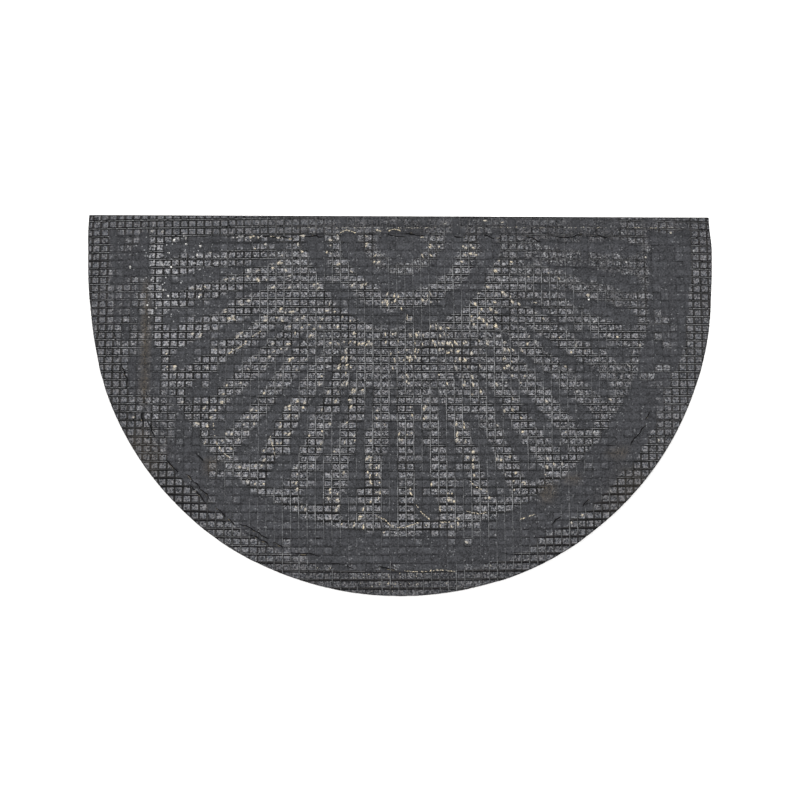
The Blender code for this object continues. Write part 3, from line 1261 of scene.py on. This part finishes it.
@dataclass
class Folds:
    """Lips of rubber along the pockets' rims, where the sheet creased in the press, each with a painted
    shadow in front.
    """

    surface: Surface = Surface()
    folds: tuple[Fold, ...] = (
        Fold(258, 235, 292, 238), Fold(304, 236, 324, 236), Fold(337, 233, 346, 237),
        Fold(368, 233, 382, 237), Fold(388, 234, 406, 237), Fold(405, 233, 425, 236),
        Fold(342, 234, 342, 245), Fold(454, 237, 465, 236), Fold(484, 234, 501, 238),
        Fold(527, 236, 541, 240), Fold(553, 237, 582, 235), Fold(590, 235, 608, 237),
        Fold(141, 408, 143, 426), Fold(147, 420, 156, 438), Fold(165, 460, 181, 476),
        Fold(185, 474, 211, 501), Fold(190, 484, 206, 503), Fold(215, 509, 236, 526),
        Fold(240, 524, 286, 551), Fold(246, 533, 270, 547), Fold(650, 411, 645, 419),
        Fold(645, 424, 631, 446), Fold(589, 499, 582, 506), Fold(561, 516, 551, 524),
        Fold(112, 331, 118, 350), Fold(121, 362, 127, 388), Fold(196, 452, 204, 462),
        Fold(291, 552, 319, 557), Fold(329, 563, 353, 569), Fold(376, 568, 396, 571),
    )
    step: float = 1.6 * MM
    lip_width: float = 1.7 * MM
    lip_height: float = 0.5 * MM

    def path(self, fold: Fold, seed: int) -> np.ndarray:
        """Draws a fold's wavy line.

        Args:
            fold: The fold.
            seed: Number of its waves.

        Returns:
            The line's points on the plan.
        """
        start = np.array(from_photo(fold.start_across, fold.start_down))
        end = np.array(from_photo(fold.end_across, fold.end_down))
        length = float(np.linalg.norm(end - start))
        share = np.linspace(0.0, 1.0, max(4, round(length / self.step)))[:, None]
        aside = np.array([start[1] - end[1], end[0] - start[0]]) / length
        x, y = (share * length).ravel(), np.full(len(share), seed * 7 * MM)
        waves = 1.7 * MM * Ripple(seed=51, spacing=0.009).at(x, y)
        waves = waves + 0.7 * MM * Ripple(seed=52, spacing=0.0035).at(x, y)
        return start + (end - start) * share + aside * waves[:, None]

    def build(self) -> bpy.types.Object:
        """Builds the lips and dresses them.

        Returns:
            The piece.
        """
        points: list[tuple[float, ...]] = []
        faces: list[tuple[int, ...]] = []
        under: list[float] = []
        for seed, fold in enumerate(self.folds):
            line = self.path(fold, seed)
            taper = ease(np.minimum(np.linspace(0, 5, len(line)), np.linspace(5, 0, len(line))))
            aside = np.gradient(line, axis=0)[:, ::-1] * (-1.0, 1.0)
            aside /= np.linalg.norm(aside, axis=1, keepdims=True)
            outward = line[:, :1] * aside[:, :1] + (line[:, 1:] - 0.05) * aside[:, 1:]
            aside *= np.where(outward < 0, -1.0, 1.0)
            beside = [line + aside * self.lip_width * part for part in (-1.2, -0.5, 0.0, 0.6)]
            top = np.maximum.reduce([self.surface.top(*places.T) for places in beside])
            crest = np.minimum(top + self.lip_height, BACKING_HIGH.z + 0.15 * MM)
            first = len(points)
            for spot, away, low, high, share in zip(line, aside, top, crest, taper):
                ragged = float(Ripple(seed=53, spacing=0.003).at(np.array(spot[0]), np.array(spot[1])))
                reach = self.lip_width * (0.3 + 0.7 * share) * (0.75 + 0.4 * ragged)
                foot = low - 1.6 * MM
                # Rows across the lip: the back from its foot up to the crest, then a flat strip lying just
                # over the rubber that carries the lip's painted shadow, and a foot.
                rows = ((0.8 * reach, foot), (0.45 * reach, low + 0.7 * (high - low)), (0.1 * reach, high))
                rows += ((-0.1 * reach, low + 0.06 * MM), (-1.1 * reach, low + 0.04 * MM))
                rows += ((-1.1 * reach, foot),)
                points += [(*(spot + away * out).tolist(), float(z)) for out, z in rows]
                # How much painted shade each row gets.
                under += [0.0, 0.0, 0.2, 1.0, 1.0, 1.0]
            count = len(rows)
            for near in range(first, len(points) - count, count):
                for k in range(count):
                    after = (k + 1) % count
                    faces.append((near + k, near + after, near + count + after, near + count + k))
            faces.append(tuple(range(first, first + count)))
            faces.append(tuple(range(len(points) - 1, len(points) - 1 - count, -1)))
        mesh = new_skin("folds", points, faces, [FoldedRubber().material()], {"under": under})
        turn_outward(mesh)
        piece = new_object("folds", mesh)
        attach(piece, "root")
        return piece


class Thread(NamedTuple):
    """Places in the photograph, in pixels from its left and top."""

    across: tuple[float, ...]
    down: tuple[float, ...]


class Scrap(NamedTuple):
    """A flat bit of fibre: its points, its faces and how grey it is, below 0 for white."""

    points: list[tuple[float, float, float]]
    faces: list[tuple[int, int, int]]
    grey: float


@dataclass
class LooseFibres:
    """Scraps and threads of the face's fibre, stuck to the rubber near the pockets' rims."""

    surface: Surface = Surface()
    tries: int = 70_000
    threads: tuple[Thread, ...] = (
        Thread(across=(374, 385, 392, 404, 417, 423), down=(515, 520, 527, 528, 523, 521)),
        Thread(across=(416, 422, 429), down=(505, 513, 519)),
        Thread(across=(440, 448, 455), down=(522, 523, 521)),
        Thread(across=(466, 476, 487), down=(511, 514, 513)),
        Thread(across=(252, 257, 262), down=(337, 334, 330)),
        Thread(across=(340, 347, 356), down=(233, 230, 233)),
        Thread(across=(388, 394, 400), down=(231, 229, 231)),
        Thread(across=(373, 377, 381), down=(231, 230, 232)),
        Thread(across=(470, 474, 482), down=(480, 486, 490)),
        Thread(across=(226, 235, 246), down=(355, 350, 343)),
        Thread(across=(213, 215, 222, 230), down=(423, 440, 452, 458)),
        Thread(across=(270, 273, 276), down=(436, 447, 460)),
        Thread(across=(404, 420, 440, 456), down=(571, 572, 570, 572)),
        Thread(across=(520, 526, 534), down=(520, 517, 515)),
    )
    seam: Thread = Thread(across=(292, 400, 520, 684), down=(227.6, 227.8, 227.4, 227.8))
    crumbs: Thread = Thread(
        across=(174, 130, 169, 197, 171, 163, 147, 149, 199, 248, 589, 156, 168, 200, 186, 184),
        down=(240, 267, 253, 255, 267, 290, 305, 317, 297, 270, 299, 308, 296, 246, 244, 236),
    )

    def scrap(self, spot: Sequence[float], turn: float, size: np.ndarray, grey: float) -> Scrap:
        """Builds one scrap: a flat bent lozenge.

        Args:
            spot: Its middle, in space.
            turn: Which way it points.
            size: Its half length, half width and height.
            grey: How grey it is.

        Returns:
            The scrap.
        """
        long, wide, high = size.tolist()
        left, front, top = spot
        shape = [(-long, 0.3 * wide, 0), (long, -0.2 * wide, 0)]
        shape += [(-0.3 * long, -wide, 0), (0.4 * long, -0.8 * wide, 0)]
        shape += [(-0.4 * long, wide, 0), (0.3 * long, 0.9 * wide, 0), (0.1 * long, 0, high), (0, 0, -high)]
        cos, sin = math.cos(turn), math.sin(turn)
        points = [(left + x * cos - y * sin, front + x * sin + y * cos, top + z) for x, y, z in shape]
        ring = (0, 2, 3, 1, 5, 4)
        sides = list(zip(ring, ring[1:] + ring[:1]))
        return Scrap(points, [(a, b, 6) for a, b in sides] + [(b, a, 7) for a, b in sides], grey)

    def scraps(self) -> list[Scrap]:
        """Scatters scraps over the pads near the pockets' rims.

        Returns:
            The scraps.
        """
        chance = np.random.default_rng(61)
        x = chance.uniform(BACKING_LOW.x, BACKING_HIGH.x, self.tries)
        y = chance.uniform(BACKING_LOW.y, BACKING_HIGH.y, self.tries)
        rim = self.surface.burst.rim
        across, along = self.surface.cells(x, y)
        press = self.surface.mesh
        clear = press.pad_edge / press.pitch
        aside = across % 1
        on_pad = (np.abs(along % 1 - 0.5) < 0.42 - clear) & (aside > clear) & (aside < 0.97 - clear)
        inward = np.where(x < -5 * MM, aside > 0.66, aside < 0.36)
        on_pad &= inward | (chance.uniform(size=self.tries) < 0.25)
        relief = self.surface.relief(across, along)
        inside = rim.all_round(x, y) > 4 * MM
        near = ease(1.4 - np.abs(relief.edge - 3.5 * MM) / (4 * MM))
        wear = self.surface.wear
        chalk = patchy(wear.chalk, x, y)
        bunch = ease(0.35 + 1.2 * Ripple(seed=62, spacing=0.014).at(x, y))
        in_fan = rim.inset(x, y) > self.surface.burst.band_end - 8 * MM
        in_fan &= rim.below_back(x, y) > self.surface.burst.back_border
        in_fan = np.where(in_fan, 0.10 + 0.57 * ease((0.20 - x) / 0.12), 0.06)
        keep = (near * in_fan + patchy(wear.cream, x, y)) * bunch
        keep += 0.01 + 0.12 * chalk
        keep *= 1.0 - 0.9 * np.minimum(patchy(wear.clogged, x, y), 1.0)
        fan_y = HALF_DEPTH - self.surface.burst.back_border
        at_side, low_border = ease((np.abs(x) - 0.04) / 0.05), -0.192
        kept = inside & on_pad & (relief.sunk < 0.9 * MM) & (chance.uniform(size=self.tries) < keep)
        scraps = []
        for number in np.flatnonzero(kept).tolist():
            spot = (x[number], y[number], BACKING_HIGH.z + relief.height[number] + 0.05 * MM)
            size = chance.uniform([1.0, 0.45, 0.15], [3.4, 1.3, 0.3]) * MM
            size *= (1.0, 1.0 + 0.5 * at_side[number], 1.0) if y[number] > low_border else (0.35, 0.6, 1.0)
            aside = abs(x[number] - 0.02)
            grey = float(np.clip(chance.uniform(-0.1, 0.8) + chalk[number] + 1.2 * aside, 0, 1))
            loose = 0.2 + 0.5 * (chance.uniform() < 0.3)
            turn = math.atan2(fan_y - y[number], -x[number]) + chance.normal(0, loose)
            scraps.append(self.scrap(spot, turn, size, grey))
        return scraps

    def chain(self, thread: Thread, gap: float, thick: float, grey: float) -> list[Scrap]:
        """Lays scraps end to end along a line, with breaks.

        Args:
            thread: The line.
            gap: The part of the scraps that are missing, from 0 to 1.
            thick: Half the width of the widest scraps.
            grey: How grey they are on average, from 0 to 1.

        Returns:
            The scraps.
        """
        chance = np.random.default_rng(round(sum(thread.across)))
        spots = np.array([from_photo(a, d) for a, d in zip(thread.across, thread.down)])
        run = np.append(0.0, np.cumsum(np.linalg.norm(np.diff(spots, axis=0), axis=1)))
        laid, at = [], 0.0
        while at < run[-1]:
            half = chance.uniform(0.8, 2.2) * MM
            ends = np.transpose([np.interp((at, at + 2 * half), run, line) for line in spots.T])
            (x, y), ahead = np.mean(ends, axis=0), ends[1] - ends[0]
            y += 0.6 * MM * Ripple(seed=63, spacing=0.005).at(np.array(x), np.array(y))
            turn = math.atan2(ahead[1], ahead[0]) + chance.normal(0, 0.25)
            size = np.array([half * 1.15, thick * chance.uniform(0.45, 1.0), 0.3 * MM])
            if chance.uniform() > gap:
                shade = float(np.clip(chance.normal(grey, 0.25), 0, 1))
                laid.append(self.scrap(self.on_rubber(x, y), turn, size, shade))
            at += 2 * half
        return laid

    def on_rubber(self, x: float, y: float) -> Place:
        """Gives the place just over the rubber at a point on the plan."""
        return x, y, float(self.surface.top(np.array([x]), np.array([y]))[0]) + 0.1 * MM

    def noted(self) -> list[Scrap]:
        """Lays the threads, the broken line along the back border and the bright crumbs.

        Returns:
            The scraps.
        """
        laid = [scrap for thread in self.threads for scrap in self.chain(thread, 0.12, 0.95 * MM, 0.1)]
        laid += self.chain(self.seam, 0.45, 0.45 * MM, 0.7)
        chance = np.random.default_rng(64)
        for place in zip(self.crumbs.across, self.crumbs.down):
            size = chance.uniform([1.2, 1.0, 0.5], [2.4, 1.7, 0.7]) * MM
            laid.append(self.scrap(self.on_rubber(*from_photo(*place)), chance.uniform(0, 3), size, -1.0))
        return laid

    def build(self) -> bpy.types.Object:
        """Builds the scraps and threads and dresses them.

        Returns:
            The piece.
        """
        points: list[tuple[float, ...]] = []
        faces: list[tuple[int, ...]] = []
        greys: list[float] = []
        for scrap in self.scraps() + self.noted():
            faces += [tuple(len(points) + corner for corner in face) for face in scrap.faces]
            points += scrap.points
            greys += [scrap.grey] * len(scrap.points)
        mesh = new_skin("loose_fibres", points, faces, [LooseFibre().material()], {"grey": greys})
        turn_outward(mesh)
        piece = new_object("loose_fibres", mesh)
        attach(piece, "root")
        return piece


@dataclass
class FibreFace:
    """The fibre face under the rubber, which shoes touch when the mat is turned over."""

    surface: Surface = Surface()
    nap: float = 0.25 * MM
    rim_foot: float = 1.2 * MM
    rim_top: float = 0.8 * MM

    def build(self) -> bpy.types.Object:
        """Builds the face over its node and dresses it.

        Returns:
            The piece.
        """
        press = self.surface.mesh
        across = press.stops(FACE_LOW.x, FACE_HIGH.x, press.upright_at)[::2]
        along = press.stops(FACE_LOW.y, FACE_HIGH.y, press.level_at)[::2]
        lattice = cut_lattice(self.surface, across, along)
        x, y = self.surface.place(lattice.across, lattice.along)
        nap = self.nap * (1 + Ripple(seed=21, spacing=0.004).at(x, y))
        points = np.stack([x, y, FACE_LOW.z + nap], axis=1).tolist()
        mesh = new_skin("fibre_face", points, lattice.faces, [NeedledFibre().material()], {})
        levels = [FACE_LOW.z + self.rim_foot, FACE_HIGH.z - self.rim_top, FACE_HIGH.z]
        close_below(mesh, levels, rim_slot=0)
        piece = new_object("face", mesh)
        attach(piece, "root")
        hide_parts("fibre_face")
        return piece


class Lamp(NamedTuple):
    """A square soft light that looks at the mat."""

    name: str
    place: Place
    size: float
    watts: float


@dataclass
class Studio:
    """The pale floor, the soft lights, the sky and the camera straight above."""

    floor_size: float = 8.0
    floor_colour: Colour = (0.95, 0.95, 0.95)
    floor_roughness: float = 0.9
    lamps: tuple[Lamp, ...] = (
        Lamp("key", place=(0.25, 1.7, 1.7), size=1.2, watts=45.0),
        Lamp("fill", place=(-1.2, -0.8, 2.0), size=2.0, watts=16.0),
    )
    sky_strength: float = 1.3
    lens_mm: float = 85.0
    sensor_mm: float = 36.0

    def build_floor(self) -> bpy.types.Object:
        """Lays the floor.

        Returns:
            The floor.
        """
        mesh = bpy.data.meshes.new("studio_floor")
        shape = bmesh.new()
        bmesh.ops.create_grid(shape, x_segments=2, y_segments=2, size=self.floor_size / 2)
        shape.to_mesh(mesh)
        shape.free()
        mesh.materials.append(Bench("studio_paper").finish(self.floor_colour, self.floor_roughness))
        floor = new_object("floor", mesh)
        return floor

    def add_light(self, lamp: Lamp) -> None:
        """Hangs a soft light.

        Args:
            lamp: Its name, place, size and strength.
        """
        light = bpy.data.lights.new(lamp.name, "AREA")
        light.size = lamp.size
        light.energy = lamp.watts
        hung = new_object(lamp.name, light)
        hung.location = lamp.place
        hung.rotation_euler = (-Vector(lamp.place)).to_track_quat("-Z", "Y").to_euler()

    def add_camera(self) -> None:
        """Sets the camera straight above, at the photograph's scale and place."""
        camera = bpy.data.cameras.new("camera")
        camera.lens = self.lens_mm
        camera.sensor_width = self.sensor_mm
        distance = PICTURE_PIXELS * PHOTO_SCALE * self.lens_mm / self.sensor_mm
        eye = new_object("camera", camera)
        eye.location = (0.0, VIEW_ROWS_ABOVE_MIDDLE * PHOTO_SCALE, BACKING_HIGH.z + distance)
        bpy.context.scene.camera = eye

    def build(self) -> None:
        """Builds the floor, the lights, the sky and the camera."""
        scene = bpy.context.scene
        self.build_floor()
        for lamp in self.lamps:
            self.add_light(lamp)
        world = bpy.data.worlds.new("studio")
        world.use_nodes = True
        sky = world.node_tree.nodes["Background"].inputs
        sky["Color"].default_value = (1.0, 1.0, 1.0, 1.0)
        sky["Strength"].default_value = self.sky_strength
        scene.world = world
        scene.view_settings.view_transform = "Standard"
        self.add_camera()


def main() -> None:
    """Builds the pieces in order and reports each."""
    logging.basicConfig(level=logging.INFO, format="%(name)s: %(message)s")
    Studio().build()
    for maker in (FibreFace(), RubberBacking(), Folds(), LooseFibres()):
        piece = maker.build()
        LOG.info("%s: %d faces", piece.name, len(piece.data.polygons))


if __name__ == "__main__":
    main()
